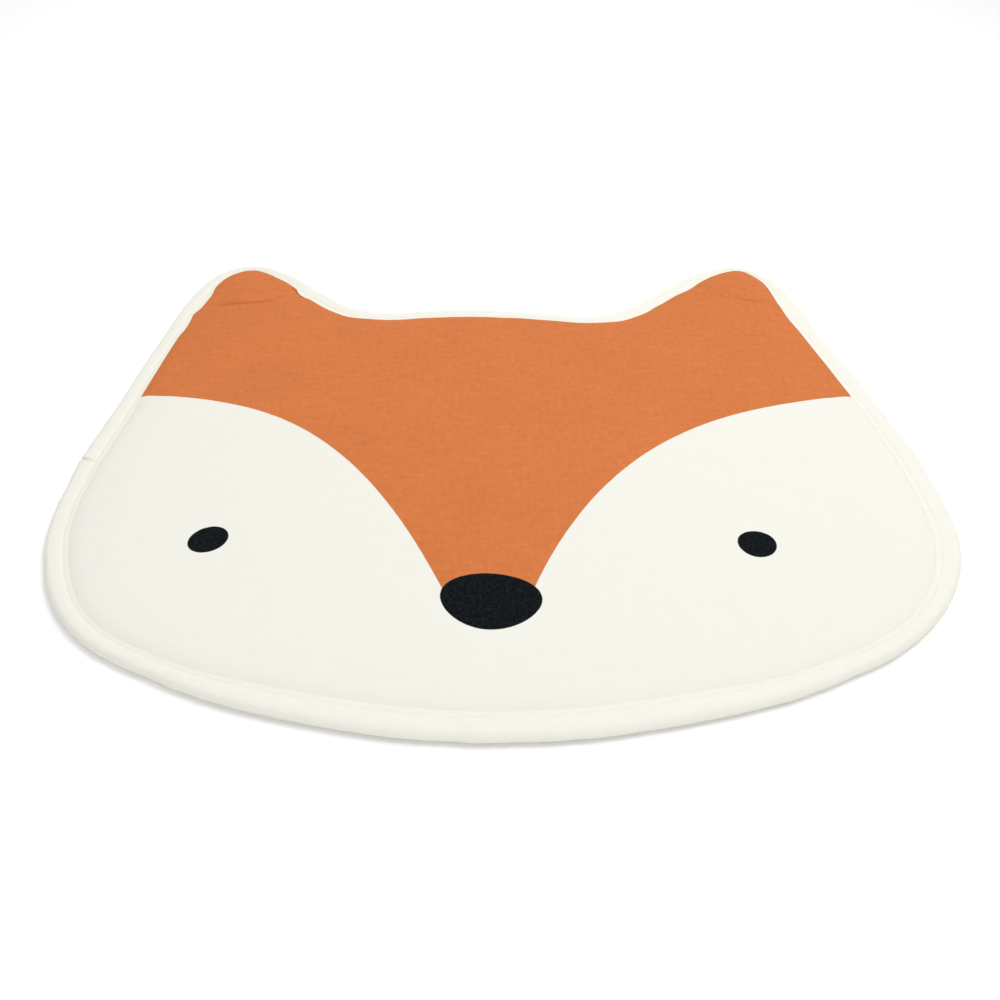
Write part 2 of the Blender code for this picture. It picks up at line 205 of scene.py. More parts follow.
# The wadding's unevenness: each lump's number a metre, seed and height in mm.
WaddingRow = namedtuple("WaddingRow", "frequency seed height")
WADDING = (WaddingRow(14, 3, 0.45), WaddingRow(45, 7, 0.2))
WADDING_RISE = 6 * MM  # how far from the seam the lumps are held back
ON_TOP = 0.2 * MM  # points this much higher than the seam are the face's

# The print. A cheek's upper edge is one curve from the seam to the nose, with a handle at each
# end. In millimetres.
CheekRow = namedtuple("CheekRow", "place seam seam_handle nose_handle nose")
LEFT_CHEEK = CheekRow("left cheek", (-441, 72.5), (-363, 46.5), (-204, 88.5), (-54, -280.4))
RIGHT_CHEEK = CheekRow("right cheek", (436, 75.5), (396, 38.5), (153, 73.5), (30, -284.4))
CHEEK_STEPS = 40
# An oval of the print. A swelling above 0 makes its upper part the wider one, like an egg.
SpotRow = namedtuple("SpotRow", "place x y half_width half_height tilt swelling")
SPOTS = (
    SpotRow("nose", -9, -294.8, 47.9, 37.8, -7.2, 0.15),
    SpotRow("left eye", -293.4, -206.2, 21.2, 18.95, 55, 0.0),
    SpotRow("right eye", 257.2, -213.2, 19.3, 20.1, 0, 0.05),
)
SPOT_STEPS = 64
MASK_LAYER = "mask_edge"  # distance into the orange mask, in millimetres
SPOT_LAYER = "spot_edge"  # distance into the nearest black spot, in millimetres
UNPRINTED = -50.0
BEYOND_SEAM = 40 * MM  # how far the mask's edge goes on past the seam

# Topstitching
STITCH_PITCH = 3.6 * MM
STITCH_LENGTH = 2.9 * MM
STITCH_CUTS = (0.3, 0.7)  # where a stitch bends, as shares of its length
STITCH_TAPER = 0.35  # how much thinner its ends are
STITCH_DIVE = 1.6  # how deep its ends dive into the cloth, in thread radii
THREAD_RADIUS = 0.38 * MM
THREAD_SIDES = 6

MERGE = 0.01 * MM
ON_SEAM = MERGE * 10  # points nearer to the seam than this lie on it
SMALLEST_MOVE = 1e-9
KEEP_INSIDE_BORDER = 1  # the triangulation's mode that leaves out what lies outside the border


# Lines on the floor plane


def chain_spans(points, closed):
    """One curve to each next point. Its handles lie along the direction between the neighbours."""
    count = len(points)
    directions = []
    for i, point in enumerate(points):
        before = point - points[i - 1]
        after = points[(i + 1) % count] - point
        if not closed and i == 0:
            before = after
        if not closed and i == count - 1:
            after = before
        turned = before.normalized() * after.length + after.normalized() * before.length
        directions.append(turned.normalized())
    for i in range(count if closed else count - 1):
        j = (i + 1) % count
        reach = (points[j] - points[i]).length * HANDLE_SHARE
        leaving = points[i] + directions[i] * reach
        arriving = points[j] - directions[j] * reach
        yield points[i], leaving, arriving, points[j]


def bezier(corners, steps):
    """The curve's points, both ends included."""
    spread = [corner.to_3d() for corner in corners]
    return [point.to_2d() for point in geometry.interpolate_bezier(*spread, steps + 1)]


def pattern_points():
    """The outline's points in order: the chin, the left side, the brow, the right side."""
    left = [(row.left_x, row.left_y) for row in OUTLINE]
    right = [(row.right_x, row.right_y) for row in reversed(OUTLINE)]
    return [Vector(point) * MM for point in (CHIN, *left, BROW, *right)]


def outline_points(step):
    """Points round the outline, no further apart than about the step."""
    points = []
    for corners in chain_spans(pattern_points(), closed=True):
        steps = math.ceil((corners[3] - corners[0]).length / step)
        points.extend(bezier(corners, steps)[:-1])
    return points


def finer_at_join(points):
    """The outline with short steps where the strip's ends are lapped."""
    finer = []
    for point, following in zip(points, points[1:] + points[:1]):
        near = (point - JOIN_CENTRE).length < JOIN_REACH
        parts = JOIN_PARTS if near else 1
        finer.extend(point.lerp(following, k / parts) for k in range(parts))
    return finer


def local_share(x, y, row):
    """1 at the row's place, falling smoothly to 0 away from it."""
    away = np.hypot(x - row.x * MM, y - row.y * MM) / (row.reach * MM)
    return np.exp(-(away**row.sharpness))


Station = namedtuple("Station", "point inward travelled from_join narrowing")


def outline_stations(points):
    """Each outline point, with the way into the rug, its place along the strip, and what changes
    the strip there."""
    lengths = [(b - a).length for a, b in zip(points, points[1:] + points[:1])]
    starts = [sum(lengths[:i]) for i in range(len(points))]
    join = min(range(len(points)), key=lambda i: (points[i] - JOIN_CENTRE).length)
    stations = []
    for i, point in enumerate(points):
        along = (points[(i + 1) % len(points)] - points[i - 1]).normalized()
        shares = [float(local_share(point.x, point.y, row)) for row in WIDTHS]
        narrowing = sum(row.narrowing * share for row, share in zip(WIDTHS, shares))
        inward = Vector((along.y, -along.x))
        stations.append(Station(point, inward, starts[i], starts[i] - starts[join], narrowing))
    return stations


def loop_at(stations, inset):
    """The outline moved in by the inset, less where the strip is narrower."""
    return [
        station.point + station.inward * inset * (1 - station.narrowing) for station in stations
    ]


def as_array(points):
    return np.array([tuple(point) for point in points])


def distance_to_line(xy, line, closed=False):
    """The shortest way from each point to a chain of segments."""
    starts = line if closed else line[:-1]
    ends = np.roll(line, -1, axis=0) if closed else line[1:]
    nearest = np.full(len(xy), np.inf)
    for start, end in zip(starts, ends):
        span = end - start
        share = np.clip((xy - start) @ span / (span @ span), 0, 1)
        nearest = np.minimum(nearest, np.hypot(*(start + share[:, None] * span - xy).T))
    return nearest


def is_inside(xy, loop):
    """True inside a closed loop: a line to the right crosses it an odd number of times."""
    crossings = np.zeros(len(xy), int)
    for start, end in zip(loop, np.roll(loop, -1, axis=0)):
        spans = (start[1] > xy[:, 1]) != (end[1] > xy[:, 1])
        if start[1] == end[1]:
            continue
        share = (xy[:, 1] - start[1]) / (end[1] - start[1])
        crossings += spans & (xy[:, 0] < start[0] + share * (end[0] - start[0]))
    return crossings % 2 == 1


def grid_inside(border, pitch):
    """Staggered rows of points inside a border, clear of its edge."""
    row_height = pitch * math.sqrt(3) / 2
    furthest = np.abs(border).max()
    columns = math.ceil(furthest / pitch)
    rows = math.ceil(furthest / row_height)
    points = [
        ((column + 0.5 * (row % 2)) * pitch, row * row_height)
        for row in range(-rows, rows + 1)
        for column in range(-columns, columns + 1)
    ]
    points = np.array(points)
    points = points[is_inside(points, border)]
    return points[distance_to_line(points, border, closed=True) > pitch * RING_CLEARANCE]


def triangulated(chains, loose):
    """Points and triangles on the floor plane. All chains are closed, the first is the border."""
    points = []
    edges = []
    for chain in chains:
        first = len(points)
        points.extend(Vector(point) for point in chain)
        edges.extend((first + i, first + (i + 1) % len(chain)) for i in range(len(chain)))
    points.extend(Vector(point) for point in loose)
    border = [list(range(len(chains[0])))]
    found = geometry.delaunay_2d_cdt(points, edges, border, KEEP_INSIDE_BORDER, MERGE / 10)
    return found[0], found[2]


# Sections through the edge, as pairs of inset and height


def strip_line():
    """The section as a smooth line: rows of inset, height and the other columns, in metres but
    for the two shares."""
    rows = np.array([row[1:] for row in STRIP_SECTION])
    corners = [Vector(row[:2]) for row in rows]
    line = []
    for i, span in enumerate(chain_spans(corners, closed=False)):
        for k, point in enumerate(bezier(span, SECTION_STEPS)[:-1]):
            mixed = rows[i] + (rows[i + 1] - rows[i]) * k / SECTION_STEPS
            line.append((point.x, max(point.y, 0.0), *mixed[2:]))
    line.append(rows[-1])
    return np.array(line) * (MM, MM, MM, MM, 1, 1)


def moved_inwards(section, distance):
    """The section moved into the filling by the distance, with mitred corners."""
    sides = np.diff(section, axis=0)
    normals = np.stack([sides[:, 1], -sides[:, 0]], axis=1)
    normals /= np.linalg.norm(normals, axis=1)[:, None]
    before = np.vstack([normals[:1], normals])
    after = np.vstack([normals, normals[-1:]])
    middle = before + after
    middle /= np.linalg.norm(middle, axis=1)[:, None]
    return section + middle * (distance / (middle * before).sum(axis=1))[:, None]


def unevenness(travelled, waves):
    """Smooth noise along the strip, from about -1 to 1 for a wave with a share of 1."""
    return sum(
        row.share * (noise.noise(Vector((travelled / row.length, row.seed, 0.0))) * NOISE_GAIN)
        for row in waves
    )


def strip_section(line, station):
    """The strip's outer face at a station: narrower or wider, pinched at its join, lumpy on its
    roll and puckered by the stitches."""
    section = line[:, :2] * (1 - station.narrowing, 1)
    slant = JOIN_SLANT * (1 - line[:, 0] / line[GROOVE_ROW * SECTION_STEPS, 0])
    pinch = np.exp(-(((station.from_join - slant) / JOIN_HALF_LENGTH) ** 2))[:, None]
    section = section + line[:, 2:4] * (1, -1) * pinch
    lapped = LAP_RISE if 0 < station.from_join < LAP_LENGTH else 0.0
    roll = LUMP * unevenness(station.travelled, LUMP_WAVES)
    pucker = PUCKER * unevenness(station.travelled, PUCKER_WAVES)
    push = (roll + lapped) * line[:, 4] + pucker * line[:, 5]
    outwards = section - moved_inwards(section, 1.0)
    return section + outwards * push[:, None]


def placed(station, section):
    """A section's points in space, at its station."""
    spots = np.array(station.point) + np.array(station.inward) * section[:, :1]
    return np.column_stack([spots, section[:, 1]])


# Meshes


def swept(mesh_data, rows, closed):
    """Quads from each row of points to the next row, all round. Returns the rows' vertices."""
    rings = [[mesh_data.verts.new(point) for point in row] for row in rows]
    for near, far in zip(rings, rings[1:] + rings[:1]):
        for j in range(len(near) if closed else len(near) - 1):
            k = (j + 1) % len(near)
            mesh_data.faces.new((near[j], near[k], far[k], far[j]))
    return rings


def new_piece(name, mesh_data, material):
    """An object at the origin from finished mesh data."""
    bmesh.ops.recalc_face_normals(mesh_data, faces=mesh_data.faces)
    mesh = bpy.data.meshes.new(name)
    mesh_data.to_mesh(mesh)
    mesh_data.free()
    mesh.materials.append(material)
    mesh.shade_smooth()
    piece = bpy.data.objects.new(name, mesh)
    bpy.context.scene.collection.objects.link(piece)
    return piece


def select_only(piece):
    bpy.ops.object.select_all(action="DESELECT")
    piece.select_set(True)
    bpy.context.view_layer.objects.active = piece


def coordinates(mesh):
    flat = np.empty(len(mesh.vertices) * 3)
    mesh.vertices.foreach_get("co", flat)
    return flat.reshape(-1, 3)


def set_coordinates(mesh, points):
    mesh.vertices.foreach_set("co", points.astype(np.float32).ravel())
    mesh.update()


# Binding


def distance_across(line):
    """How far each point of the section is from the turned-under edge, along the cloth."""
    return np.concatenate([[0], np.cumsum(np.hypot(*np.diff(line[:, :2], axis=0).T))])


def folded_strip(stations, material):
    """The strip round the whole edge, with a map that runs along it and across it."""
    line = strip_line()
    rows = []
    for station in stations:
        outer = strip_section(line, station)
        inner = moved_inwards(outer, STRIP_THICKNESS)[::-1]
        rows.append(placed(station, np.vstack([outer, inner])))
    mesh_data = bmesh.new()
    swept(mesh_data, rows, closed=True)
    across = distance_across(line)
    across = np.concatenate([across, across[::-1]])
    along = [station.travelled for station in stations]
    width = len(rows[0])
    total = along[-1] + (stations[0].point - stations[-1].point).length
    layer = mesh_data.loops.layers.uv.new("strip")
    mesh_data.verts.index_update()
    for face in mesh_data.faces:
        row_numbers = [loop.vert.index // width for loop in face.loops]
        closes = max(row_numbers) - min(row_numbers) > 1
        for loop, row_number in zip(face.loops, row_numbers):
            travelled = along[row_number]
            if closes and row_number == 0:
                travelled = total
            loop[layer].uv = (travelled, across[loop.vert.index % width])
    return new_piece("binding_strip", mesh_data, material)


# Topstitching


def groove_line(stations):
    """The bottom of the stitched groove, all round."""
    line = strip_line()
    at_groove = GROOVE_ROW * SECTION_STEPS
    sections = [placed(station, strip_section(line, station)) for station in stations]
    return [Vector(section[at_groove]) for section in sections]


def one_stitch():
    """A stitch lying along +X: a short thread whose ends dive into the cloth."""
    bpy.ops.mesh.primitive_cylinder_add(
        vertices=THREAD_SIDES,
        radius=THREAD_RADIUS,
        depth=STITCH_LENGTH,
        end_fill_type="TRIFAN",
        location=(STITCH_LENGTH / 2, 0, 0),
        rotation=(0, math.pi / 2, 0),
    )
    stitch = bpy.context.object
    bpy.ops.object.transform_apply(location=True, rotation=True, scale=True)
    bpy.ops.object.mode_set(mode="EDIT")
    for cut in STITCH_CUTS:
        bpy.ops.mesh.select_all(action="SELECT")
        bpy.ops.mesh.bisect(plane_co=(STITCH_LENGTH * cut, 0, 0), plane_no=(1, 0, 0))
    bpy.ops.object.mode_set(mode="OBJECT")
    points = coordinates(stitch.data)
    share = np.abs(points[:, 0] / STITCH_LENGTH * 2 - 1) ** 2  # 0 in the middle, 1 at the ends
    points[:, 1:] *= (1 - STITCH_TAPER * share)[:, None]
    points[:, 2] -= share * THREAD_RADIUS * STITCH_DIVE
    set_coordinates(stitch.data, points)
    return stitch


def topstitching(stations, material):
    """One stitch repeated along the groove."""
    path_points = groove_line(stations)
    curve = bpy.data.curves.new("groove", "CURVE")
    curve.dimensions = "3D"
    spline = curve.splines.new("POLY")
    spline.points.add(len(path_points) - 1)
    for knot, point in zip(spline.points, path_points):
        knot.co = (*point, 1.0)
    spline.use_cyclic_u = True
    curve.twist_mode = "Z_UP"
    path = bpy.data.objects.new("groove", curve)
    bpy.context.scene.collection.objects.link(path)
    length = sum((b - a).length for a, b in zip(path_points, path_points[1:] + path_points[:1]))
    stitch = one_stitch()
    stitch.name = "topstitching"
    stitch.data.name = "topstitching"
    count = round(length / STITCH_PITCH)
    repeat = stitch.modifiers.new("repeat", "ARRAY")
    repeat.count = count
    repeat.use_relative_offset = False
    repeat.use_constant_offset = True
    repeat.constant_offset_displace = (length / count, 0, 0)
    follow = stitch.modifiers.new("follow the groove", "CURVE")
    follow.object = path
    follow.deform_axis = "POS_X"
    select_only(stitch)
    bpy.ops.object.modifier_apply(modifier=repeat.name)
    bpy.ops.object.modifier_apply(modifier=follow.name)
    bpy.data.objects.remove(path)
    stitch.data.materials.append(material)
    stitch.data.shade_smooth()
    return stitch


# Padded head panel


def fold_line(row):
    """The bow through a fold's three places."""
    start, middle, end = (Vector(point) * MM for point in (row.start, row.middle, row.end))
    bow = middle * 2 - (start + end) / 2
    return bezier((start, start.lerp(bow, 2 / 3), end.lerp(bow, 2 / 3), end), FOLD_STEPS)


def fold_lanes(row):
    """Rows of points beside a narrow crease, so that the mesh can take it."""
    line = fold_line(row)
    lanes = []
    for i, point in enumerate(line):
        along = (line[min(i + 1, len(line) - 1)] - line[max(i - 1, 0)]).normalized()
        side = Vector((-along.y, along.x)) * row.half_width * MM
        lanes.extend(point + side * share for share in LANE_SHARES)
    return as_array(lanes)


def fold_share(xy, row):
    """How much of the fold's depth each point has: full on its line, less beside it and where
    the fold runs out."""
    line = as_array(fold_line(row))
    start, end = line[0], line[-1]
    along = np.clip((xy - start) @ (end - start) / ((end - start) @ (end - start)), 0, 1)
    ends = np.minimum(1, np.minimum(along, 1 - along) * FOLD_ENDS + FOLD_LEFT)
    away = distance_to_line(xy, line) / (row.half_width * MM)
    return ends * np.exp(-FOLD_SHARPNESS * away**2)


def face_heights(xy, seam):
    """The filled face before it swells: a crown that falls to the seam, fuller in the ears."""
    ear = np.maximum(*[local_share(xy[:, 0], xy[:, 1], row) for row in EARS])
    puff = sum(row.puff * MM * local_share(xy[:, 0], xy[:, 1], row) for row in EARS)
    rise = FACE_RISE + (EAR_RISE - FACE_RISE) * ear
    away = distance_to_line(xy, seam, closed=True) / rise
    share = 1 - (1 + FACE_EASE * away) * np.exp(-away)
    return SEAM_HEIGHT + (FACE_HEIGHT + puff - SEAM_HEIGHT) * share


def panel_section(station):
    """The panel's edge, from its flat underside through the strip's fold to its seam on top."""
    rows = np.array([(row.inset * (1 - station.narrowing), row.height) for row in STRIP_SECTION])
    inside = rows[FLOOR_ROW : GROOVE_ROW + 1] * MM
    fold = moved_inwards(inside, STRIP_THICKNESS + PANEL_CLEARANCE)
    underside = UNDERSIDE_INSET * (1 - station.narrowing)
    tuck = np.array(TUCK) * (1 - station.narrowing, 1) * MM
    seam = (SEAM_INSET * (1 - station.narrowing), SEAM_HEIGHT)
    step = [(underside, 0.0), (underside, STRIP_THICKNESS + PANEL_CLEARANCE)]
    return np.vstack([step, fold, tuck, [seam]])


def plain_panel(stations, material):
    """The closed panel before it swells."""
    mesh_data = bmesh.new()
    sections = [placed(station, panel_section(station)) for station in stations]
    swept(mesh_data, sections, closed=False)
    seam = as_array(loop_at(stations, SEAM_INSET))
    chains = [seam] + [as_array(loop_at(stations, SEAM_INSET + ring)) for ring in FACE_RINGS]
    grid = grid_inside(chains[-1], FACE_PITCH)
    lanes = [fold_lanes(row) for row in FOLDS if row.half_width < LANED_BELOW]
    for lane in lanes:
        away = np.abs(grid[:, None] - lane[None]).max(axis=2)
        grid = grid[(away > FACE_PITCH * LANE_CLEARANCE).all(axis=1)]
    loose = np.vstack([grid] + lanes)
    loose = loose[is_inside(loose, chains[0])]
    loose = loose[distance_to_line(loose, seam, closed=True) > SEAM_CLEARANCE]
    points, triangles = triangulated(chains, loose)
    heights = face_heights(as_array(points), seam)
    add_faces(mesh_data, points, heights, triangles)
    border = as_array(loop_at(stations, UNDERSIDE_INSET))
    points, triangles = triangulated([border], grid_inside(border, UNDERSIDE_PITCH))
    add_faces(mesh_data, points, np.zeros(len(points)), triangles)
    bmesh.ops.remove_doubles(mesh_data, verts=mesh_data.verts, dist=MERGE)
    return new_piece("printed_head_panel", mesh_data, material)


def add_faces(mesh_data, points, heights, triangles):
    """Triangles of the floor plane, lifted to their heights."""
    corners = [mesh_data.verts.new((*point, height)) for point, height in zip(points, heights)]
    for triangle in triangles:
        mesh_data.faces.new([corners[i] for i in triangle])


def let_swell(panel, seam):
    """The wadding pushes the face up inside its seam. What lies under the strip stays put."""
    before = coordinates(panel.data)
    flat = before[:, :2]
    free = is_inside(flat, seam) & (before[:, 2] > SEAM_HEIGHT - MERGE)
    free &= distance_to_line(flat, seam, closed=True) > ON_SEAM
    pinned = panel.vertex_groups.new(name="held")
    pinned.add(np.flatnonzero(~free).tolist(), 1.0, "REPLACE")
    select_only(panel)
    cloth = panel.modifiers.new("swelling", "CLOTH")
    cloth.settings.quality = SWELL_QUALITY
    cloth.settings.vertex_group_mass = pinned.name
    cloth.settings.use_pressure = True
    cloth.settings.uniform_pressure_force = SWELL_PRESSURE
    cloth.settings.effector_weights.gravity = 0.0
    cloth.collision_settings.use_collision = False
    for number in range(1, SWELL_FRAMES + 1):
        bpy.context.scene.frame_set(number)
    bpy.ops.object.modifier_apply(modifier=cloth.name)
    bpy.context.scene.frame_set(1)
    moved = coordinates(panel.data) - before
    moved[:, 2] = np.maximum(moved[:, 2], 0)
    far = np.linalg.norm(moved, axis=1)
    capped = SWELL_CAP * np.tanh(far / SWELL_CAP)
    capped *= 1 - np.exp(-distance_to_line(flat, seam, closed=True) / SWELL_RISE)
    kept = (capped / np.maximum(far, SMALLEST_MOVE))[:, None]
    set_coordinates(panel.data, before + moved * kept)
    panel.vertex_groups.clear()


def crease(panel, seam):
    """The folds of the photograph, and the wadding's unevenness, pressed into the face."""
    points = coordinates(panel.data)
    flat = points[:, :2]
    on_top = (points[:, 2] > SEAM_HEIGHT + ON_TOP) & is_inside(flat, seam)
    share = 1 - np.exp(-distance_to_line(flat, seam, closed=True) / WADDING_RISE)
    drop = np.zeros(len(points))
    for row in FOLDS:
        drop += row.depth * MM * fold_share(flat, row)
    lumps = [
        sum(
            row.height * noise.noise(Vector((x * row.frequency, y * row.frequency, row.seed)))
            for row in WADDING
        )
        for x, y in flat
    ]
    points[:, 2] += (np.array(lumps) * MM * share - drop) * on_top
    set_coordinates(panel.data, points)


def mark_print(panel, seam):
    """Two layers on the panel say how far each point lies inside the mask and inside a spot."""
    points = coordinates(panel.data)
    flat = points[:, :2]
    printed = points[:, 2] > SEAM_HEIGHT / 2
    sides = []
    for cheek in (LEFT_CHEEK, RIGHT_CHEEK):
        corners = [Vector(corner) * MM for corner in cheek[1:]]
        sides.append(bezier(corners, CHEEK_STEPS))
    edge = as_array(sides[0] + sides[1][::-1])
    edge = np.vstack([edge[0] - (BEYOND_SEAM, 0), edge, edge[-1] + (BEYOND_SEAM, 0)])
    above = flat[:, 1] > np.interp(flat[:, 0], edge[:, 0], edge[:, 1])
    mask = distance_to_line(flat, edge) * np.where(above, 1, -1) / MM
    spots = np.full(len(flat), UNPRINTED)
    for row in SPOTS:
        outline = spot_outline(row)
        away = distance_to_line(flat, outline, closed=True) / MM
        spots = np.maximum(spots, np.where(is_inside(flat, outline), away, -away))
    for name, values in ((MASK_LAYER, mask), (SPOT_LAYER, spots)):
        layer = panel.data.attributes.new(name, "FLOAT", "POINT")
        layer.data.foreach_set("value", np.where(printed, values, UNPRINTED).astype(np.float32))


def spot_outline(row):
    """An oval's points, turned and swollen as its row says."""
    turn = Matrix.Rotation(math.radians(row.tilt), 2)
    points = []
    for i in range(SPOT_STEPS):
        angle = math.tau * i / SPOT_STEPS
        across = row.half_width * math.cos(angle) * (1 + row.swelling * math.sin(angle))
        up = row.half_height * math.sin(angle)
        points.append((Vector((row.x, row.y)) + turn @ Vector((across, up))) * MM)
    return as_array(points)


def head_panel(stations, material):
    """The finished panel: swollen, creased and marked for its print."""
    panel = plain_panel(stations, material)
    seam = as_array(loop_at(stations, SEAM_INSET))
    let_swell(panel, seam)
    select_only(panel)
    finer = panel.modifiers.new("finer", "SUBSURF")
    finer.levels = 1
    finer.render_levels = 1
    bpy.ops.object.modifier_apply(modifier=finer.name)
    crease(panel, seam)
    mark_print(panel, seam)
    return panel


# Finishes

WOBBLE_GRAIN = (90, 90, 90)
WOBBLE = 0.9  # how far the threads of a weave stray, in pitches
THREAD_ROUNDNESS = 0.6  # a lower number makes them flatter on top
FLECK_CORE = 0.0005  # the radius of a knot in the yarn, in metres
FLECK_EDGE = 0.0012  # where it ends


class Recipe:
    """A material's nodes, added one at a time."""

    def __init__(self, name):
        self.material = bpy.data.materials.new(name)
        self.material.use_nodes = True
        self.tree = self.material.node_tree
        self.shader = self.tree.nodes["Principled BSDF"]

    def node(self, kind, *values, **settings):
        """A node with its settings. Its inputs come in order, as numbers or other sockets."""
        made = self.tree.nodes.new(kind)
        for key, value in settings.items():
            setattr(made, key, value)
        for socket, value in zip([s for s in made.inputs if s.enabled], values):
            self.fill(socket, value)
        return made

    def fill(self, socket, value):
        if isinstance(value, bpy.types.NodeSocket):
            self.tree.links.new(value, socket)
        elif value is not None:
            socket.default_value = value

    def calc(self, operation, *values):
        return self.node("ShaderNodeMath", *values, operation=operation).outputs[0]

    def blend(self, first, first_share, second, second_share):
        """Two values added up by their shares."""
        shared = self.calc("MULTIPLY", first, first_share)
        return self.calc("ADD", shared, self.calc("MULTIPLY", second, second_share))

    def scaled(self, vector, scale):
        """A vector or colour with each of its parts multiplied."""
        return self.node("ShaderNodeVectorMath", vector, scale, operation="MULTIPLY").outputs[0]

    def grain(self, vector, scale, detail=2.0):
        """Noise from 0 to 1, stretched by the scale."""
        made = self.node("ShaderNodeTexNoise")
        self.fill(made.inputs["Vector"], self.scaled(vector, scale))
        self.fill(made.inputs["Scale"], 1.0)
        self.fill(made.inputs["Detail"], detail)
        return made.outputs["Fac"]

    def eased(self, value, low, high, to_low=0.0, to_high=1.0):
        return self.node("ShaderNodeMapRange", value, low, high, to_low, to_high).outputs[0]

    def mixed(self, share, first, second):
        made = self.tree.nodes.new("ShaderNodeMix")
        made.data_type = "RGBA"
        colours = [s for s in made.inputs if s.type == "RGBA"]
        self.fill(made.inputs["Factor"], share)
        self.fill(colours[0], first)
        self.fill(colours[1], second)
        return [s for s in made.outputs if s.type == "RGBA"][0]

    def weave(self, vector, pitch):
        """The height of a plain weave, from 0 between threads to 1 on them."""
        wobble = self.grain(vector, WOBBLE_GRAIN, 1.0)
        in_threads = self.scaled(vector, (1 / pitch,) * 3)
        parts = self.node("ShaderNodeSeparateXYZ", in_threads).outputs
        ridges = []
        for part in (parts[0], parts[1]):
            shifted = self.calc("ADD", part, self.calc("MULTIPLY", wobble, WOBBLE))
            wave = self.calc("SINE", self.calc("MULTIPLY", shifted, math.pi))
            ridges.append(self.calc("ABSOLUTE", wave))
        return self.calc("POWER", self.calc("MULTIPLY", *ridges), THREAD_ROUNDNESS)

    def flecks(self, vector, density):
        """0 at sparse small knots in the yarn, 1 elsewhere. The density is in knots a metre."""
        made = self.tree.nodes.new("ShaderNodeTexVoronoi")
        made.voronoi_dimensions = "2D"
        self.fill(made.inputs["Vector"], vector)
        self.fill(made.inputs["Scale"], density)
        return self.eased(made.outputs["Distance"], FLECK_CORE * density, FLECK_EDGE * density)

    def bumped(self, height, depth):
        made = self.tree.nodes.new("ShaderNodeBump")
        made.inputs["Strength"].default_value = 1.0
        made.inputs["Distance"].default_value = depth
        self.fill(made.inputs["Height"], height)
        self.tree.links.new(made.outputs["Normal"], self.shader.inputs["Normal"])

    def soft(self, roughness, sheen):
        self.shader.inputs["Roughness"].default_value = roughness
        self.shader.inputs["Sheen Weight"].default_value = sheen
        self.shader.inputs["Sheen Roughness"].default_value = 0.5
        self.shader.inputs["Specular IOR Level"].default_value = 0.06


CREAM_CANVAS = (0.785, 0.777, 0.711, 1)
ORANGE_INK = (0.594, 0.178, 0.0548, 1)
BLACK_INK = (0.0020, 0.0036, 0.0048, 1)
WORN_BLACK = (0.0105, 0.0138, 0.0165, 1)
CREAM_COTTON = (0.816, 0.802, 0.724, 1)
CREAM_THREAD = (0.780, 0.762, 0.682, 1)
PAINTED_LIP_HIGHLIGHT = 1.005  # painted highlight: how much paler the folded lip is painted, as if lit
CANVAS_PITCH = 0.95 * MM  # between the canvas's threads
COTTON_PITCH = 0.7 * MM
MIDDLE = (0.3, 0.7)  # the range in which most of a grain's noise lies


def printed_canvas():
    """Cream plain-weave canvas with slubs, printed in orange and black."""
    recipe = Recipe("printed canvas")
    place = recipe.node("ShaderNodeTexCoord").outputs["Object"]
    weave = recipe.weave(place, CANVAS_PITCH)
    weft = recipe.grain(place, (45, 1050, 1))
    warp = recipe.grain(place, (1050, 45, 1))
    slubs = recipe.grain(place, (30, 150, 1))
    stripes = recipe.grain(place, (200, 26, 1))
    patches = recipe.grain(place, (9, 9, 1), 3.0)
    mottling = recipe.grain(place, (160, 95, 1), 3.0)
    speckle = recipe.grain(place, (350, 230, 1), 3.0)
    ragged = recipe.calc("MULTIPLY", recipe.calc("SUBTRACT", weft, 0.5), 0.9)
    inks = []
    for layer in (MASK_LAYER, SPOT_LAYER):
        inside = recipe.node("ShaderNodeAttribute", attribute_name=layer).outputs["Fac"]
        inks.append(recipe.eased(recipe.calc("ADD", inside, ragged), -0.35, 0.35))
    streaks = recipe.blend(weft, 0.6, warp, 0.4)
    coarse = recipe.blend(slubs, 0.6, stripes, 0.4)
    colour = recipe.mixed(inks[0], CREAM_CANVAS, ORANGE_INK)
    worn = recipe.blend(streaks, 0.3, speckle, 0.7)
    black = recipe.mixed(recipe.eased(worn, 0.45, 0.67), BLACK_INK, WORN_BLACK)
    colour = recipe.mixed(inks[1], colour, black)
    inked = recipe.calc("MAXIMUM", *inks)
    tones = (
        recipe.eased(streaks, *MIDDLE, 0.96, 1.04),
        recipe.eased(coarse, *MIDDLE, 0.95, 1.05),
        recipe.eased(mottling, *MIDDLE, 0.955, 1.045),
        recipe.eased(patches, *MIDDLE, 0.975, 1.025),
        recipe.eased(weave, 0.0, 1.0, 0.98, 1.01),
        recipe.eased(recipe.flecks(place, 26), 0.0, 1.0, 1.28, 1.0),
    )
    tone = tones[0]
    for other in tones[1:]:
        tone = recipe.calc("MULTIPLY", tone, other)
    plain_tone = recipe.eased(coarse, *MIDDLE, 0.988, 1.010)
    bare = recipe.calc("SUBTRACT", 1.0, inked)
    tone = recipe.blend(tone, inked, plain_tone, bare)
    recipe.fill(recipe.shader.inputs["Base Color"], recipe.scaled(colour, tone))
    recipe.soft(0.95, 0.02)
    recipe.bumped(recipe.calc("ADD", weave, recipe.calc("MULTIPLY", streaks, 0.8)), 0.05 * MM)
    return recipe.material


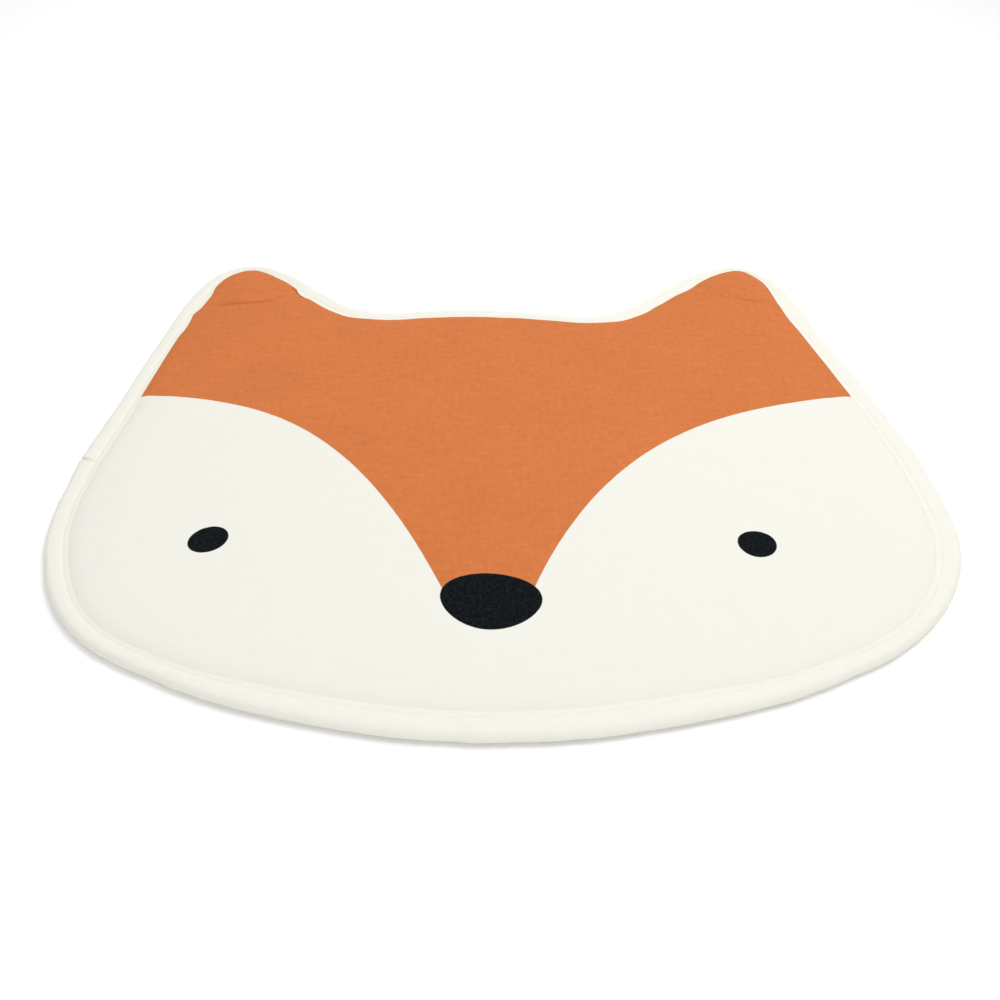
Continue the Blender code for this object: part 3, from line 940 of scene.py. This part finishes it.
def cotton_strip():
    """Finer cream cotton, its weave along and across the strip. Its folded inner edge carries a
    painted highlight: it is painted a little paler there, as if light caught the lip."""
    recipe = Recipe("cream cotton strip")
    place = recipe.node("ShaderNodeUVMap", uv_map="strip").outputs["UV"]
    across = recipe.node("ShaderNodeSeparateXYZ", place).outputs[1]
    groove = distance_across(strip_line())[GROOVE_ROW * SECTION_STEPS]
    # painted highlight: the cloth is painted paler from the groove onto the folded lip
    painted_lip_highlight = recipe.eased(across, groove, groove + 1.5 * MM, 1.0, PAINTED_LIP_HIGHLIGHT)
    weave = recipe.weave(place, COTTON_PITCH)
    threads = recipe.grain(place, (60, 1300, 1))
    tone = recipe.calc("MULTIPLY", recipe.eased(threads, *MIDDLE, 0.98, 1.012), painted_lip_highlight)
    recipe.fill(recipe.shader.inputs["Base Color"], recipe.scaled(CREAM_COTTON[:3], tone))
    recipe.soft(0.95, 0.03)
    recipe.bumped(recipe.calc("ADD", weave, threads), 0.07 * MM)
    return recipe.material


def sewing_thread():
    """Twisted cotton thread."""
    recipe = Recipe("cream thread")
    place = recipe.node("ShaderNodeTexCoord").outputs["Object"]
    twist = recipe.grain(place, (2600, 2600, 2600), 1.0)
    tone = recipe.eased(twist, *MIDDLE, 0.93, 1.05)
    recipe.fill(recipe.shader.inputs["Base Color"], recipe.scaled(CREAM_THREAD[:3], tone))
    recipe.soft(0.8, 0.05)
    recipe.bumped(twist, 0.05 * MM)
    return recipe.material


# Stage

FLOOR_SIZE = 16
CAMERA_PLACE = (0, -0.97378, 0.66933)
CAMERA_TILT = 52  # degrees up from looking straight down
FILM_WIDTH = 36  # the lens is as long, in millimetres


def pale_floor():
    bpy.ops.object.select_all(action="DESELECT")
    bpy.ops.mesh.primitive_plane_add(size=FLOOR_SIZE, location=(0, 0, 0))
    floor = bpy.context.object
    floor.name = "floor"
    recipe = Recipe("pale floor")
    recipe.shader.inputs["Base Color"].default_value = (0.98, 0.98, 0.98, 1)
    recipe.shader.inputs["Roughness"].default_value = 0.9
    recipe.shader.inputs["Specular IOR Level"].default_value = 0.0
    floor.data.materials.append(recipe.material)


LampRow = namedtuple("LampRow", "name place target size power")
LAMPS = (
    LampRow("soft key", (0.9, 0.0, 2.2), (-1.4, 0.0, 0.0), 1.4, 25.5),
    LampRow("front fill", (-0.5, -2.2, 1.2), (0.0, 0.0, 0.0), 1.5, 6.5),
    LampRow("backdrop light", (0.0, 2.6, 2.4), (0.0, 2.2, 0.0), 2.8, 27.5),
)
ROOM_LIGHT = 0.68


def studio_light():
    for row in LAMPS:
        light = bpy.data.lights.new(row.name, "AREA")
        light.energy = row.power
        light.size = row.size
        lamp = bpy.data.objects.new(row.name, light)
        lamp.location = row.place
        backwards = Vector(row.place) - Vector(row.target)
        lamp.rotation_euler = backwards.to_track_quat("Z", "Y").to_euler()
        bpy.context.scene.collection.objects.link(lamp)
    world = bpy.data.worlds.new("room")
    world.use_nodes = True
    background = world.node_tree.nodes["Background"]
    background.inputs["Color"].default_value = (1, 1, 1, 1)
    background.inputs["Strength"].default_value = ROOM_LIGHT
    bpy.context.scene.world = world
    bpy.context.scene.view_settings.view_transform = "Standard"


def photo_camera():
    lens = bpy.data.cameras.new("camera")
    lens.lens = FILM_WIDTH
    lens.sensor_width = FILM_WIDTH
    camera = bpy.data.objects.new("camera", lens)
    camera.location = CAMERA_PLACE
    camera.rotation_euler = (math.radians(CAMERA_TILT), 0, 0)
    bpy.context.scene.collection.objects.link(camera)
    bpy.context.scene.camera = camera


def animal_rug():
    strip_stations = outline_stations(finer_at_join(outline_points(STRIP_STEP)))
    panel_stations = outline_stations(outline_points(PANEL_STEP))
    panel = head_panel(panel_stations, printed_canvas())
    strip = folded_strip(strip_stations, cotton_strip())
    stitches = topstitching(strip_stations, sewing_thread())
    slots = ((panel, "printed_canvas"), (strip, "cotton_strip"), (stitches, "cotton_strip"))
    for piece, slot in slots:
        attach(piece, "root")
    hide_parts("padded_face")
    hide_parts("edge_binding")


photo_camera()
pale_floor()
studio_light()
animal_rug()
